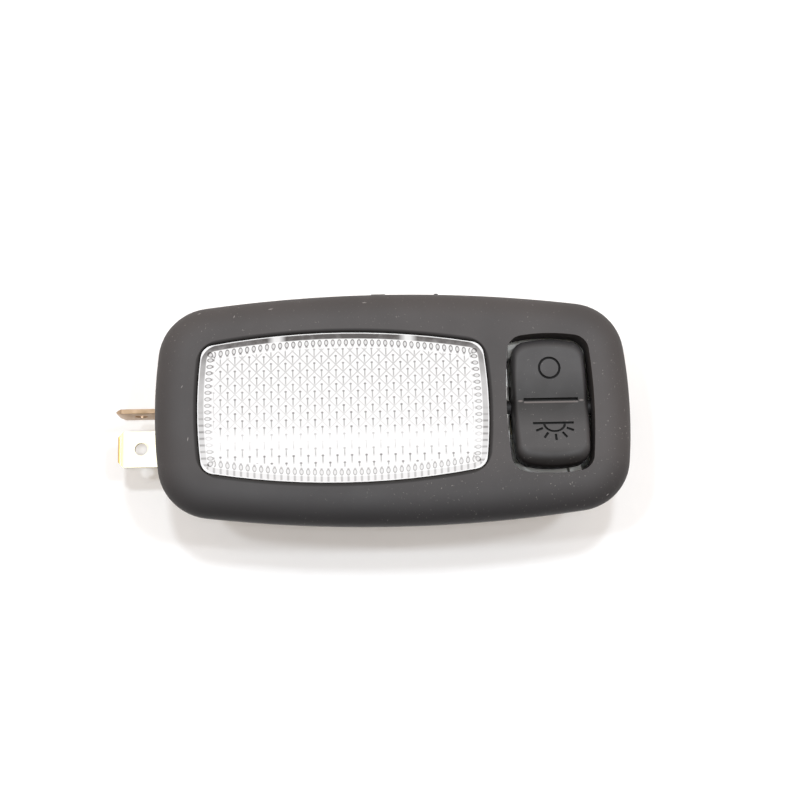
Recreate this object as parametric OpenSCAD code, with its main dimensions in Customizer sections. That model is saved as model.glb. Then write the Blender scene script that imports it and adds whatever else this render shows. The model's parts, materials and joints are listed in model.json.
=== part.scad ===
// Car interior light with a clear patterned lens, an on/off rocker and two push-on blades.
// Origin: middle of the flat back rim of the bezel, which seats on the roof lining.
// +Z points out of the lens, +X runs towards the rocker, the lamp lies on its back.

/* [Bezel] */
// Length of the bezel over its bowed ends
bezel_l = 80; // [79:0.5:82]
// Width of the bezel over its bowed sides
bezel_w = 39.6; // [39.2:0.2:41]
// Height of the bezel above the lining
bezel_h = 4; // [3.8:0.1:4.6]
// Rise of each bowed end over a straight line
end_bow = 2.35; // [2:0.05:2.8]
// Rise of each bowed side over a straight line
side_bow = 3.3; // [3:0.1:3.6]
// Corner radius of the outline
corner_r = 9; // [8:0.5:10]
// Width of the rolled edge, seen from the front
roll_w = 5; // [4:0.5:6]
// Wall of the bezel
bezel_t = 1.8; // [1.5:0.1:1.9]

/* [Lens] */
// Length of the lens window
window_l = 48.7; // [46:0.1:48.8]
// Width of the lens window
window_w = 25.6; // [24:0.1:25.8]
// Distance of the window's middle from the middle of the bezel, away from the rocker
window_shift = 8.5; // [8.3:0.1:8.7]
// Gap between lens and window all round
lens_gap = 0.15; // [0.1:0.05:0.2]
// Depth of the lens face below the bezel's face
lens_drop = 0.3; // [0.2:0.1:0.5]
// Thickness of the lens plate
lens_t = 1.7; // [1.5:0.1:1.8]
// Distance between the pyramids behind the lens, across their corners
pyramid_pitch = 2.4; // [2.2:0.1:2.8]
// Height of the pyramids
pyramid_h = 0.7; // [0.4:0.05:0.9]
// Distance between the beads round the pyramids
bead_pitch = 1.1; // [1:0.05:1.4]

/* [Rocker] */
// Distance of the rocker's middle from the middle of the bezel
rocker_x = 26.25; // [26:0.05:26.4]
// Length of the rocker button
rocker_l = 22.2; // [21.6:0.1:22.4]
// Width of the rocker button
rocker_w = 12.8; // [12:0.1:12.9]
// Slope of each face up from the valley
valley_angle = 6; // [4:0.5:7]
// Tilt of the rocker to each side of its middle
rocker_tilt = 6; // [5:0.5:6]
// Height of the valley above the axle
valley_h = 4; // [3.8:0.1:4.1]
// Length of the opening round the rocker
opening_l = 23.8; // [23.4:0.1:24]
// Width of the opening round the rocker
opening_w = 14.8; // [14.6:0.1:15]

/* [Housing] */
// Depth of the housing behind the lining
housing_d = 16.5; // [16:0.5:19]
// Wall of the housing
housing_t = 1.5; // [1.2:0.1:1.6]

/* [Terminals] */
// Width of each push-on blade
tab_w = 6.3; // [6.1:0.1:6.4]
// Thickness of the brass
tab_t = 0.8; // [0.7:0.05:0.8]
// How far the blades stand out past the bezel
tab_reach = 7.7; // [6:0.1:9]
// Diameter of the detent hole in each blade
tab_hole_d = 2.2; // [1.7:0.1:2.4]

/* [Bulb] */
// Length of the festoon bulb over its solder tips
bulb_l = 36; // [35.6:0.1:36.4]
// Diameter of the bulb's glass
bulb_glass_d = 10.4; // [9.5:0.1:10.5]
// Diameter of the bulb's caps
bulb_cap_d = 8.5; // [8:0.1:8.5]

/* [Hidden] */
$fn = 64;
eps = 0.01;

// Steps of an arched outline along a quarter of an end, a corner and a quarter of a side
end_steps = 4;
corner_steps = 6;
side_steps = 6;

// Outlines as [half length, half width, bow of the ends, bow of the sides, corner radius]
bezel_o = [bezel_l / 2, bezel_w / 2, end_bow, side_bow, corner_r];
window_o = [window_l / 2, window_w / 2, 1.15, 2.33, 2.4];
opening_o = [opening_w / 2, opening_l / 2, 0.8, 0.9, 2.8];
rocker_o = [rocker_w / 2, rocker_l / 2, 0.5, 1, 2.6];

// Heights of the bezel, from the lining
edge_z = 1.2;
ceiling_z = bezel_h - bezel_t;
window_sleeve_z = 0.5;
window_sleeve_t = 0.8;
opening_y = 0.1;
opening_sleeve_t = 0.8;
opening_sleeve_z = -0.1;
short_sleeve_z = 1.6;
dish_w = 2.2;
dish_d = 1.3;

// Housing
housing_inset = 4.2;
cavity_inset = housing_inset + housing_t;
back_z = -housing_d;
floor_z = back_z + 1.5;
rim_z = 1.5;
switch_rim_z = -0.3;
partition_x = [18.45, 19.65];
switch_x0 = 20;
axle_z = -0.8;
axle_r = 1.3;
bearing_r = 1.35;
bearing_mouth = 1.15;
ear_half = 3.6;
ear_z = 1.3;
hook_x = 20;
hook_w = 5;
hook_z = -4.2;

// Lens
lens_z = bezel_h - lens_drop;
plate_z = lens_z - lens_t;
skirt_z = -0.2;
skirt_t = 1.1;
tab_x = 11;
pattern_root = 0.05;
pattern_cover = 0.4;
bead_inset = 1.95;
bead_half_w = 0.6;
bead_depth = 0.5;
field_inset = 2.75;

// Brass strips
strip_z = floor_z + tab_t / 2;
flat_tab_y = -4.65;
flat_tab_z = -8.5;
edge_tab_y = 1.5;
edge_tab_z = -8.3;
tab_tip_x = -bezel_l / 2 - tab_reach;
tab_hole_x = tab_tip_x + 4;
return_y = [-11, -8];
rivet_places = [[-29.2, 0], [14, 0], [-12, -9.5], [26, -9.5]];
rivet_r = 1.1;

// See-saw switch
pivot_z = -10;
plate_t = 0.6;
plate_half_l = 5.9;
plate_half_w = 2;
stud_y = 3.7;
fixed_stud_top = -11.05;
finger_top = -11.75;

// Middle of the rocker's valley, a little to the +Y side of the axle
valley_y = 0.3;

// Plunger, measured down from the axle
plunger_r = 1.5;
plunger_bore_r = 1.55;
plunger_tip = 8.5;
plunger_top = 4.4;
bore_mouth = 6.6;
bore_end = 0.4;

// Bulb
bulb_x = -window_shift;
bulb_z = -6;
bulb_half = bulb_l / 2;
clip_inner = bulb_half - 0.9;

// Plan outlines

function bow_radius(half_chord, rise) = (half_chord * half_chord + rise * rise) / (2 * rise);
function side_radius(o) = bow_radius(o[0], o[3]);
function end_radius(o) = bow_radius(o[1], o[2]);
function side_centre(o) = [0, o[1] - side_radius(o)];
function end_centre(o) = [o[0] - end_radius(o), 0];

// Middle of the corner arc that runs smoothly into the bowed end and the bowed side
function corner_centre(o) =
    let (
        a = side_centre(o),
        b = end_centre(o),
        ra = side_radius(o) - o[4],
        rb = end_radius(o) - o[4],
        apart = norm(b - a),
        along = (ra * ra - rb * rb + apart * apart) / (2 * apart),
        dir = (b - a) / apart
    )
    a + along * dir + sqrt(ra * ra - along * along) * [dir[1], -dir[0]];

function bearing(from, to) = atan2(to[1] - from[1], to[0] - from[0]);
function arc(centre, r, from, to, first, steps) =
    [for (i = [first:steps]) let (a = from + (to - from) * i / steps) centre + r * [cos(a), sin(a)]];

function quarter(o, inset) =
    let (
        c = corner_centre(o),
        end_turn = bearing(end_centre(o), c),
        side_turn = bearing(side_centre(o), c)
    )
    concat(
        arc(end_centre(o), end_radius(o) - inset, 0, end_turn, 0, end_steps),
        arc(c, o[4] - inset, end_turn, side_turn, 1, corner_steps),
        arc(side_centre(o), side_radius(o) - inset, side_turn, 90, 1, side_steps)
    );

function flip(points, sx, sy) = [for (p = points) [p[0] * sx, p[1] * sy]];
function backwards(points) = [for (i = [len(points) - 1:-1:0]) points[i]];
function without_ends(points, first, last) = [for (i = [first:len(points) - 1 - last]) points[i]];

// The whole arched outline, drawn in by inset at every point
function arched(o, inset = 0) =
    let (q = quarter(o, inset))
    concat(
        q,
        without_ends(backwards(flip(q, -1, 1)), 1, 0),
        without_ends(flip(q, -1, -1), 1, 0),
        without_ends(backwards(flip(q, 1, -1)), 1, 1)
    );

function at_height(points, z) = [for (p = points) [p[0], p[1], z]];

module arched_prism(o, inset, z0, z1) {
    translate([0, 0, z0]) linear_extrude(z1 - z0) polygon(arched(o, inset));
}

// A solid skinned over rings of equal count, each running anticlockwise, lowest first
module loft(rings, lids = []) {
    n = len(rings[0]);
    top = (len(rings) - 1) * n;
    skin = [
        for (k = [0:len(rings) - 2], i = [0:n - 1])
            let (a = k * n + i, b = k * n + (i + 1) % n)
            each [[a, a + n, b + n], [a, b + n, b]]
    ];
    floor_face = [for (i = [0:n - 1]) i];
    lid_faces = len(lids) > 0 ? lids : [[for (i = [n - 1:-1:0]) i]];
    polyhedron(
        points = [for (ring = rings) each ring],
        faces = concat([floor_face], skin, [for (lid = lid_faces) [for (i = lid) top + i]])
    );
}

// Rings of an outline that rolls in and up from an upright edge, as [inset, height] at each turn
function rolled_rings(o, inset0, z0, width, rise) =
    [for (turn = [0:15:90]) at_height(arched(o, inset0 + width * (1 - cos(turn))), z0 + rise * sin(turn))];

// Bent strip

function unit(v) = v / norm(v);
function left_of(v) = [-v[1], v[0]];

// Offset of a path's point to its left, mitred where the path bends
function mitre(path, i) =
    let (
        before = unit(path[max(i, 1)] - path[max(i, 1) - 1]),
        after = unit(path[min(i, len(path) - 2) + 1] - path[min(i, len(path) - 2)]),
        middle = unit(left_of(before) + left_of(after))
    )
    middle / (middle * left_of(before));

// The section of a strip of thickness t that is bent along a path
function band(path, t) =
    concat(
        [for (i = [0:len(path) - 1]) path[i] + mitre(path, i) * t / 2],
        [for (i = [len(path) - 1:-1:0]) path[i] - mitre(path, i) * t / 2]
    );

// A strip bent in side view, with its width along Y
module side_strip(path, y0, y1, t = tab_t) {
    translate([0, y1, 0]) rotate([90, 0, 0]) linear_extrude(y1 - y0) polygon(band(path, t));
}

// A strip bent in plan, with its width along Z
module plan_strip(path, z0, z1, t = tab_t) {
    translate([0, 0, z0]) linear_extrude(z1 - z0) polygon(band(path, t));
}

module block(low, high) {
    translate(low) cube(high - low);
}

module bar_x(r, x0, x1, y = 0, z = 0) {
    translate([x0, y, z]) rotate([0, 90, 0]) cylinder(r = r, h = x1 - x0);
}

module both_sides() {
    children();
    mirror([0, 1, 0]) children();
}

// Carries a child, placed at the outline's side radius on Y, along the bowed side to x
module along_side(o, x) {
    translate(concat(side_centre(o), 0)) rotate([0, 0, -asin(x / side_radius(o))]) children();
}

// A profile of [distance inside the outline, height] drawn across the bowed side
module side_profile(o, width, profile) {
    r = side_radius(o);
    rotate([90, 0, 90]) linear_extrude(width, center = true)
        polygon([for (p = profile) [r - p[0], p[1]]]);
}

// Front bezel

module bezel_shell() {
    difference() {
        union() {
            arched_prism(bezel_o, 0, 0, edge_z);
            loft(rolled_rings(bezel_o, 0, edge_z, roll_w, bezel_h - edge_z));
            gate_stub(-2.25, 2.4, 0.22);
            gate_stub(7.7, 0.6, 0.3);
        }
        loft(concat(
            [at_height(arched(bezel_o, bezel_t), -1)],
            rolled_rings(bezel_o, bezel_t, 1, roll_w - 0.8, ceiling_z - 1)
        ));
    }
}

// What is left of a moulding gate on the far edge
module gate_stub(x, width, proud) {
    y = bezel_w / 2 - x * x / (2 * side_radius(bezel_o));
    block([x - width / 2, y - 0.6, 0.2], [x + width / 2, y + proud, edge_z - 0.2]);
}

module window_place() {
    translate([-window_shift, 0, 0]) children();
}

module opening_place() {
    translate([rocker_x - 0.2, opening_y, 0]) children();
}

// Soft dish round the rocker opening
module opening_cut() {
    loft(concat(
        [at_height(arched(opening_o), -2)],
        [
            for (turn = [0:18:90])
                at_height(arched(opening_o, dish_w * (cos(turn) - 1)), bezel_h - dish_d * (1 - sin(turn)))
        ],
        [at_height(arched(opening_o, -dish_w), bezel_h + 1)]
    ));
}

module bezel_hook() {
    side_profile(bezel_o, hook_w, [
        [2.85, ceiling_z + 0.5], [4.05, ceiling_z + 0.5], [4.05, hook_z],
        [4.95, hook_z], [4.05, hook_z - 2.4], [2.85, hook_z - 2.4]
    ]);
}

module front_bezel() {
    color([0.13, 0.12, 0.12]) difference() {
        union() {
            bezel_shell();
            window_place() arched_prism(window_o, -window_sleeve_t, window_sleeve_z, ceiling_z + 0.4);
            opening_place() arched_prism(opening_o, -opening_sleeve_t, opening_sleeve_z, ceiling_z + 0.4);
            both_sides() for (x = [-hook_x, hook_x]) along_side(bezel_o, x) bezel_hook();
        }
        window_place() arched_prism(window_o, 0, -2, bezel_h + 1);
        opening_place() opening_cut();
        // On the lamp side the sleeve is short, above the ear of the housing
        block([17, -13, -2], [switch_x0 + 0.6, 13, short_sleeve_z]);
        // Way through the sleeve for the long end of the axle
        block([32, -axle_r - 0.4, -2], [35, axle_r + 0.4, axle_z + axle_r + 0.3]);
    }
}

// Lens

module lens_snap() {
    side_profile(window_o, 4, [
        [lens_gap, plate_z], [lens_gap, window_sleeve_z - 0.1], [-0.45, window_sleeve_z - 0.1],
        [lens_gap, -1.6], [lens_gap, -2.6], [lens_gap + 1, -2.6], [lens_gap + skirt_t, plate_z]
    ]);
}

// Pyramids stand corner to corner. On a grid of half pitches, points where i + j is even are their tips.
function within(o, inset, p) =
    norm([p[0], abs(p[1])] - side_centre(o)) < side_radius(o) - inset &&
    norm([abs(p[0]), p[1]] - end_centre(o)) < end_radius(o) - inset &&
    (
        abs(p[0]) < corner_centre(o)[0] || abs(p[1]) < corner_centre(o)[1] ||
        abs(p[0]) + abs(p[1]) < corner_centre(o)[0] + corner_centre(o)[1] + o[4] - inset
    );

module pyramid_field() {
    step = pyramid_pitch / 2;
    ni = floor(window_o[0] / step);
    nj = floor(window_o[1] / step);
    row = 2 * nj + 1;
    layer = (2 * ni + 1) * row;
    corners = [[1, 0], [0, 1], [-1, 0], [0, -1]];
    has = [
        for (i = [-ni:ni]) [
            for (j = [-nj:nj])
                (i + j) % 2 == 0 && abs(i) < ni && abs(j) < nj &&
                within(window_o, field_inset + 0.6 * step, [i, j] * step)
        ]
    ];
    points = [
        for (base = [plate_z - pattern_root, plate_z + pattern_cover], i = [-ni:ni], j = [-nj:nj])
            [i * step, j * step, (i + j) % 2 == 0 && base < plate_z ? base - pyramid_h : base]
    ];
    tips = [for (i = [-ni + 1:ni - 1], j = [-nj + 1:nj - 1]) if (has[i + ni][j + nj]) [i, j]];
    polyhedron(
        points = points,
        faces = [
            for (tip = tips)
                let (at = [for (c = corners) (tip[0] + c[0] + ni) * row + tip[1] + c[1] + nj])
                each concat(
                    [[for (k = [3:-1:0]) at[k] + layer]],
                    [
                        for (k = [0:3])
                            [(tip[0] + ni) * row + tip[1] + nj, at[k], at[(k + 1) % 4]]
                    ],
                    [
                        for (k = [0:3])
                            let (beyond = tip + corners[k] + corners[(k + 1) % 4])
                            if (!has[beyond[0] + ni][beyond[1] + nj])
                                [at[k] + layer, at[(k + 1) % 4] + layer, at[(k + 1) % 4], at[k]]
                    ]
                )
        ]
    );
}

// Lengths along a closed path up to each of its points
function run_up(path, i = 0, sum = [0]) =
    i == len(path) ? sum :
    run_up(path, i + 1, concat(sum, sum[i] + norm(path[(i + 1) % len(path)] - path[i])));

// Place and direction at a length along a closed path
function station(path, sums, s) =
    let (
        i = len([for (sum = sums) if (sum <= s) sum]) - 1,
        a = path[i],
        b = path[(i + 1) % len(path)]
    )
    [a + (b - a) * (s - sums[i]) / (sums[i + 1] - sums[i]), unit(b - a)];

// One string of beads all round the field: each bead is a flat-ended oval, pinched off from the next
module bead_row() {
    path = arched(window_o, bead_inset);
    sums = run_up(path);
    total = sums[len(path)];
    beads = round(total / bead_pitch);
    rings = [
        for (bead = [0:beads - 1], part = [0:2])
            let (
                at = station(path, sums, (bead + part / 3) * total / beads),
                w = part == 0 ? 0.2 * bead_half_w : bead_half_w,
                d = part == 0 ? 0.2 * bead_depth : bead_depth
            )
            [
                for (p = [[w, pattern_cover], [-w, pattern_cover], [-w, -pattern_root],
                    [-0.5 * w, -d], [0.5 * w, -d], [w, -pattern_root]])
                    concat(at[0] + left_of(at[1]) * p[0], plate_z + p[1])
            ]
    ];
    n = len(rings);
    polyhedron(
        points = [for (ring = rings) each ring],
        faces = [
            for (k = [0:n - 1], i = [0:5])
                let (
                    side = (i + 1) % 6,
                    here = k * 6,
                    next = ((k + 1) % n) * 6,
                    a = here + i,
                    b = here + side,
                    c = next + side,
                    d = next + i
                )
                each [[c, b, a], [d, c, a]]
        ]
    );
}

module lens() {
    color([0.93, 0.95, 0.96, 0.5]) window_place() {
        pyramid_field();
        bead_row();
        difference() {
            arched_prism(window_o, lens_gap, skirt_z, lens_z);
            arched_prism(window_o, lens_gap + skirt_t, skirt_z - 1, plate_z);
        }
        both_sides() for (x = [-tab_x, tab_x]) along_side(window_o, x) lens_snap();
    }
}

// Rear housing

module bearing_notch(x0, x1) {
    bar_x(bearing_r, x0, x1, 0, axle_z);
    translate([x0, 0, 0]) rotate([90, 0, 90]) linear_extrude(x1 - x0) polygon([
        [-bearing_mouth, axle_z], [bearing_mouth, axle_z], [bearing_mouth, 0.4],
        [bearing_r, ear_z], [bearing_r, 3], [-bearing_r, 3], [-bearing_r, ear_z], [-bearing_mouth, 0.4]
    ]);
}

// Rib that stops the rocker's nose, drawn for the -Y end, with the way it leaves the wall
module rocker_stop(x0, x1, from_wall) {
    translate([x0, 0, 0]) rotate([90, 0, 90]) linear_extrude(x1 - x0) polygon(concat(
        from_wall,
        [[-11.1, -1.25], [-9.2, -2.7], [-9.2, -3.7], [-13.6, -6.2]]
    ));
}

// Ledge on the partition beside the rocker, sloped off on the rocker's side
module partition_ledge(y0, y1, x1, top) {
    translate([0, y1, 0]) rotate([90, 0, 0]) linear_extrude(y1 - y0) polygon([
        [partition_x[0], -2], [x1, -2], [x1, top - 1.5], [x1 - 0.55, top], [partition_x[0], top]
    ]);
}

// Ribs inside the light box that carry the lens skirt
module lens_ribs() {
    both_sides() {
        block([-27.6, 10.2, floor_z - eps], [-26.4, 13.2, skirt_z]);
        block([-9.1, 11.2, floor_z - eps], [-7.9, 14.6, skirt_z]);
        block([10.4, 10.2, floor_z - eps], [11.6, 14.4, skirt_z]);
    }
}

module reflector_saddle(x) {
    difference() {
        block([x, -13.6, floor_z - eps], [x + 1.2, 13.6, floor_z + 5.5]);
        bar_x(11.02, x - 1, x + 3, 0, floor_z + 11);
    }
}

module strip_slots() {
    block([-28, return_y[0] - 0.2, floor_z], [20, return_y[1] + 0.2, floor_z + tab_t + 0.2]);
    block([18, -2.4, floor_z], [20, 2.4, floor_z + tab_t + 0.2]);
}

module panel_lug() {
    block([-bezel_l / 2 + 1.4, 6.5, -4.2], [-bezel_l / 2 + 5.4, 11.5, -2.4]);
}

module spring_rail() {
    difference() {
        block([35.4, 4.4, back_z + 0.4], [37.5, 6.2, -10.4]);
        block([35.85, 4.3, back_z + 1.4], [36.9, 5.1, -10]);
    }
}

module housing_tub() {
    difference() {
        arched_prism(bezel_o, housing_inset, back_z, rim_z);
        arched_prism(bezel_o, cavity_inset, floor_z, rim_z + 1);
        // The rim is lower round the rocker, below the sleeve of the bezel
        difference() {
            block([switch_x0, -20, switch_rim_z], [40, 20, rim_z + 1]);
            block([34, -ear_half, switch_rim_z - 1], [40, ear_half, ear_z]);
        }
    }
}

module housing_inside() {
    intersection() {
        arched_prism(bezel_o, cavity_inset - 0.4, floor_z - eps, rim_z);
        union() {
            lens_ribs();
            reflector_saddle(-20.6);
            reflector_saddle(2.4);
            block([partition_x[0], -20, floor_z - eps], [partition_x[1], 20, -1]);
            partition_ledge(-ear_half, ear_half, partition_x[1], ear_z);
            partition_ledge(7, 8.6, partition_x[1], 0.6);
            partition_ledge(8.4, 10.6, partition_x[1] + 0.2, ear_z);
            rocker_stop(20, 29.3, [[-13.6, -1.25]]);
            rocker_stop(29.7, 31.8, [[-13.6, -1.25]]);
            // On the far side the rib is cut away behind the nose
            mirror([0, 1, 0]) rocker_stop(20, 31.8, [[-13.6, -4.2], [-11.35, -4.2], [-11.35, -1.25]]);
        }
    }
}

module rear_housing() {
    color([0.93, 0.92, 0.88]) difference() {
        union() {
            housing_tub();
            housing_inside();
            both_sides() {
                panel_lug();
                spring_rail();
            }
        }
        strip_slots();
        bearing_notch(partition_x[0] - 1, partition_x[1] + 1);
        bearing_notch(34, 37);
        // Windows for the hooks of the bezel
        both_sides() for (x = [-hook_x, hook_x]) along_side(bezel_o, x)
            side_profile(bezel_o, hook_w + 0.6, [
                [3, hook_z + 0.2], [6.4, hook_z + 0.2], [6.4, hook_z - 2.6], [3, hook_z - 2.6]
            ]);
        // Slots for the two blades
        block([-38, flat_tab_y - tab_w / 2 - 0.1, flat_tab_z - tab_t / 2 - 0.1],
            [-33, flat_tab_y + tab_w / 2 + 0.1, flat_tab_z + tab_t / 2 + 0.1]);
        block([-38, edge_tab_y - tab_t / 2 - 0.1, edge_tab_z - tab_w / 2 - 0.1],
            [-33, edge_tab_y + tab_t / 2 + 0.1, edge_tab_z + tab_w / 2 + 0.1]);
        // Rivet holes, counterbored from behind
        for (p = rivet_places) {
            translate([p[0], p[1], back_z - 1]) cylinder(r = rivet_r + 0.05, h = 4);
            translate([p[0], p[1], back_z - 1]) cylinder(r = 2.3, h = 1.6);
        }
    }
}

// Reflector trough behind the bulb

module reflector() {
    color([0.85, 0.86, 0.87]) difference() {
        bar_x(11, -24.8, 7.8, 0, floor_z + 11);
        bar_x(10.6, -26, 9, 0, floor_z + 11);
        block([-26, -12, floor_z + 10.4], [9, 12, 10]);
    }
}

// Steel leaf that holds the rocker end of the lamp in the panel

module retaining_spring() {
    color([0.35, 0.36, 0.38]) side_strip([
        [36.3, back_z + 1.8], [36.3, -11.4], [38.35, -5.2], [38.45, -4.4], [38.2, -3.6], [37.4, -1.6]
    ], -4.4, 4.4, 0.4);
}

// Brass strips

// Plan of a blade: bevelled corners at the tip and the detent hole
module tab_plan(x1) {
    half = tab_w / 2;
    difference() {
        polygon([
            [tab_tip_x + 1, -half], [tab_tip_x, -half + 1], [tab_tip_x, half - 1], [tab_tip_x + 1, half],
            [x1, half], [x1, -half]
        ]);
        translate([tab_hole_x, 0]) circle(d = tab_hole_d);
    }
}

// A blade lying flat, with its leading edge thinned on both faces
module blade(x1) {
    lead = 0.7;
    thin = tab_t / 2 - 0.15;
    half = tab_t / 2;
    intersection() {
        translate([0, 0, -half]) linear_extrude(tab_t) tab_plan(x1);
        translate([0, tab_w, 0]) rotate([90, 0, 0]) linear_extrude(2 * tab_w) polygon([
            [tab_tip_x, -half + thin], [tab_tip_x + lead, -half], [x1, -half],
            [x1, half], [tab_tip_x + lead, half], [tab_tip_x, half - thin]
        ]);
    }
}

module rivet_hole(i) {
    translate([rivet_places[i][0], rivet_places[i][1], floor_z - 1]) cylinder(r = rivet_r + 0.05, h = 3);
}

module clip_hole(x) {
    bar_x(2, x - 2, x + 2, 0, bulb_z);
}

module supply_contact() {
    clip_x = bulb_x - clip_inner - tab_t / 2;
    color([0.85, 0.72, 0.42]) difference() {
        union() {
            translate([0, edge_tab_y, edge_tab_z]) rotate([90, 0, 0]) blade(-34);
            plan_strip([[-34.2, edge_tab_y], [-33.6, edge_tab_y], [-31.4, 4.9], [-28.4, 4.9]],
                edge_tab_z - tab_w / 2, edge_tab_z + tab_w / 2);
            plan_strip([[-28.4, 4.9], [clip_x - 1.6, 4.9], [clip_x, 3.3], [clip_x, -4.2]], floor_z, -2.4);
            block([clip_x - 5.4, -3.2, floor_z], [clip_x, 3.2, floor_z + tab_t]);
        }
        clip_hole(clip_x);
        rivet_hole(0);
    }
}

module return_contact() {
    color([0.85, 0.72, 0.42]) difference() {
        union() {
            translate([0, flat_tab_y, flat_tab_z]) blade(-31.4);
            block(
                [-32.6, return_y[0], flat_tab_z - tab_t / 2],
                [-31.2, flat_tab_y, flat_tab_z + tab_t / 2]
            );
            side_strip([
                [-32.6, flat_tab_z], [-31.2, flat_tab_z], [-30.4, flat_tab_z - 0.8],
                [-30.4, strip_z + 0.8], [-29.6, strip_z], [32.2, strip_z]
            ], return_y[0], return_y[1]);
            block([30.2, return_y[0], floor_z], [32.2, 5.3, floor_z + tab_t]);
            side_strip([
                [32.2, strip_z], [31.2, strip_z], [29.6, finger_top - tab_t / 2],
                [25, finger_top - tab_t / 2]
            ], 2.9, 5.3);
        }
        rivet_hole(2);
        rivet_hole(3);
        translate([rocker_x, stud_y, finger_top - 1]) cylinder(r = 0.62, h = 2);
    }
}

module fork_arm(x) {
    difference() {
        block([x, -2, floor_z], [x + tab_t, 2, pivot_z + 0.8]);
        block([x - 1, -1, pivot_z - 0.1], [x + 2, 1, pivot_z + 1]);
    }
}

module bulb_switch_contact() {
    clip_x = bulb_x + clip_inner + tab_t / 2;
    color([0.85, 0.72, 0.42]) difference() {
        union() {
            side_strip([
                [clip_x, -2.4], [clip_x, strip_z + 1.2], [clip_x + 1.2, strip_z], [clip_x + 2, strip_z]
            ], -4.2, 4.2);
            block([clip_x + 2, -2.2, floor_z], [29.2, 2.2, floor_z + tab_t]);
            fork_arm(rocker_x - plate_half_w - 0.15 - tab_t);
            fork_arm(rocker_x + plate_half_w + 0.15);
        }
        clip_hole(clip_x);
        rivet_hole(1);
    }
}

// Hollow rivets, each a head, a tube and a tail rolled into the counterbore

module strip_rivets() {
    top = floor_z + tab_t;
    color([0.8, 0.68, 0.4]) for (p = rivet_places) translate([p[0], p[1], 0]) rotate_extrude() polygon([
        [0.7, back_z + 0.25], [1.9, back_z + 0.25], [1.9, back_z + 0.6], [rivet_r, back_z + 0.6],
        [rivet_r, top], [1.9, top], [1.7, top + 0.35], [0.7, top + 0.35]
    ]);
}

// See-saw switch

module see_saw_place() {
    translate([rocker_x, 0, pivot_z]) rotate([rocker_tilt, 0, 0]) children();
}

module contact_rocker() {
    color([0.83, 0.7, 0.42]) see_saw_place() difference() {
        union() {
            translate([plate_half_w, 0, 0]) rotate([90, 0, -90]) linear_extrude(2 * plate_half_w)
                polygon(band([
                    [-plate_half_l, 0.7], [-plate_half_l + 0.9, plate_t / 2],
                    [plate_half_l - 0.9, plate_t / 2], [plate_half_l, 0.7]
                ], plate_t));
            block([-plate_half_w - 1.2, -0.6, 0], [plate_half_w + 1.2, 0.6, plate_t]);
        }
        translate([0, stud_y, -1]) cylinder(r = 0.62, h = 3);
    }
}

// A contact rivet with its face down or up from a plate
module contact_stud(plate, face, face_r) {
    cylinder(r = 0.6, h = plate);
    translate([0, 0, plate]) cylinder(r = 0.95, h = 0.25);
    translate([0, 0, -face]) cylinder(r = face_r, h = face);
}

module moving_contact_stud() {
    color([0.8, 0.8, 0.78]) see_saw_place() translate([0, stud_y, 0]) contact_stud(plate_t, 0.5, 1.1);
}

module fixed_contact_stud() {
    color([0.8, 0.8, 0.78]) translate([rocker_x, stud_y, finger_top]) mirror([0, 0, 1])
        contact_stud(tab_t, fixed_stud_top - finger_top, 1.2);
}

// Rocker button

module rocker_place() {
    translate([rocker_x, 0, axle_z]) rotate([-rocker_tilt, 0, 0]) children();
}

// One ring of the button: drawn in by side and nose, below the sloping faces by drop
function rocker_ring(side, nose, drop) =
    let (o = [rocker_o[0] - side, rocker_o[1] - nose, rocker_o[2], rocker_o[3], rocker_o[4] - 0.6 * side])
    [
        for (p = arched(o))
            let (
                reach = (rocker_o[1] - sign(p[1]) * valley_y) / rocker_o[1],
                y = p[1] * reach
            )
            [p[0], valley_y + y, valley_h + abs(y) * tan(valley_angle) - drop]
    ];

function flat_ring(side, nose, z) = [for (p = rocker_ring(side, nose, 0)) [p[0], p[1], z]];

module rocker_button() {
    n = len(arched(rocker_o));
    half = n / 2;
    // Each face is its own lid, from one end of the valley to the other
    plus_face = [for (i = [half:-1:0]) i];
    minus_face = concat([0], [for (i = [n - 1:-1:half]) i]);
    loft(
        [
            flat_ring(0.15, 2, -0.8),
            flat_ring(0, 0.1, 0.9),
            rocker_ring(0, 0, 2.6),
            rocker_ring(0, 0.08, 1.8),
            rocker_ring(0.04, 0.35, 1),
            rocker_ring(0.2, 0.8, 0.5),
            rocker_ring(0.5, 1.35, 0.17),
            rocker_ring(0.9, 2, 0)
        ],
        [plus_face, minus_face]
    );
}

module rocker() {
    color([0.12, 0.11, 0.11]) rocker_place() difference() {
        union() {
            difference() {
                rocker_button();
                block([-5.1, -7.9, -2], [5.1, 7.9, 2.6]);
                // Bar groove along the valley
                block([-4.55, valley_y - 0.3, valley_h - 0.45], [4.55, valley_y + 0.35, valley_h + 1]);
            }
            // Cheeks and cross rib that carry the axle and the plunger tube
            block([-5.9, -2.4, -2.2], [-4.4, 2.4, 2.8]);
            block([4.4, -2.4, -2.2], [5.9, 2.4, 2.8]);
            block([-5, -0.6, 0.4], [5, 0.6, 2.8]);
            translate([0, 0, -bore_mouth]) cylinder(r = 2.6, h = bore_mouth + 2.8);
            bar_x(axle_r, partition_x[0] + 0.2 - rocker_x, -5);
            bar_x(axle_r, 5, 35.3 - rocker_x);
        }
        translate([0, 0, -bore_mouth - 1]) cylinder(r = plunger_bore_r, h = bore_mouth - bore_end + 1);
    }
}

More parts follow.
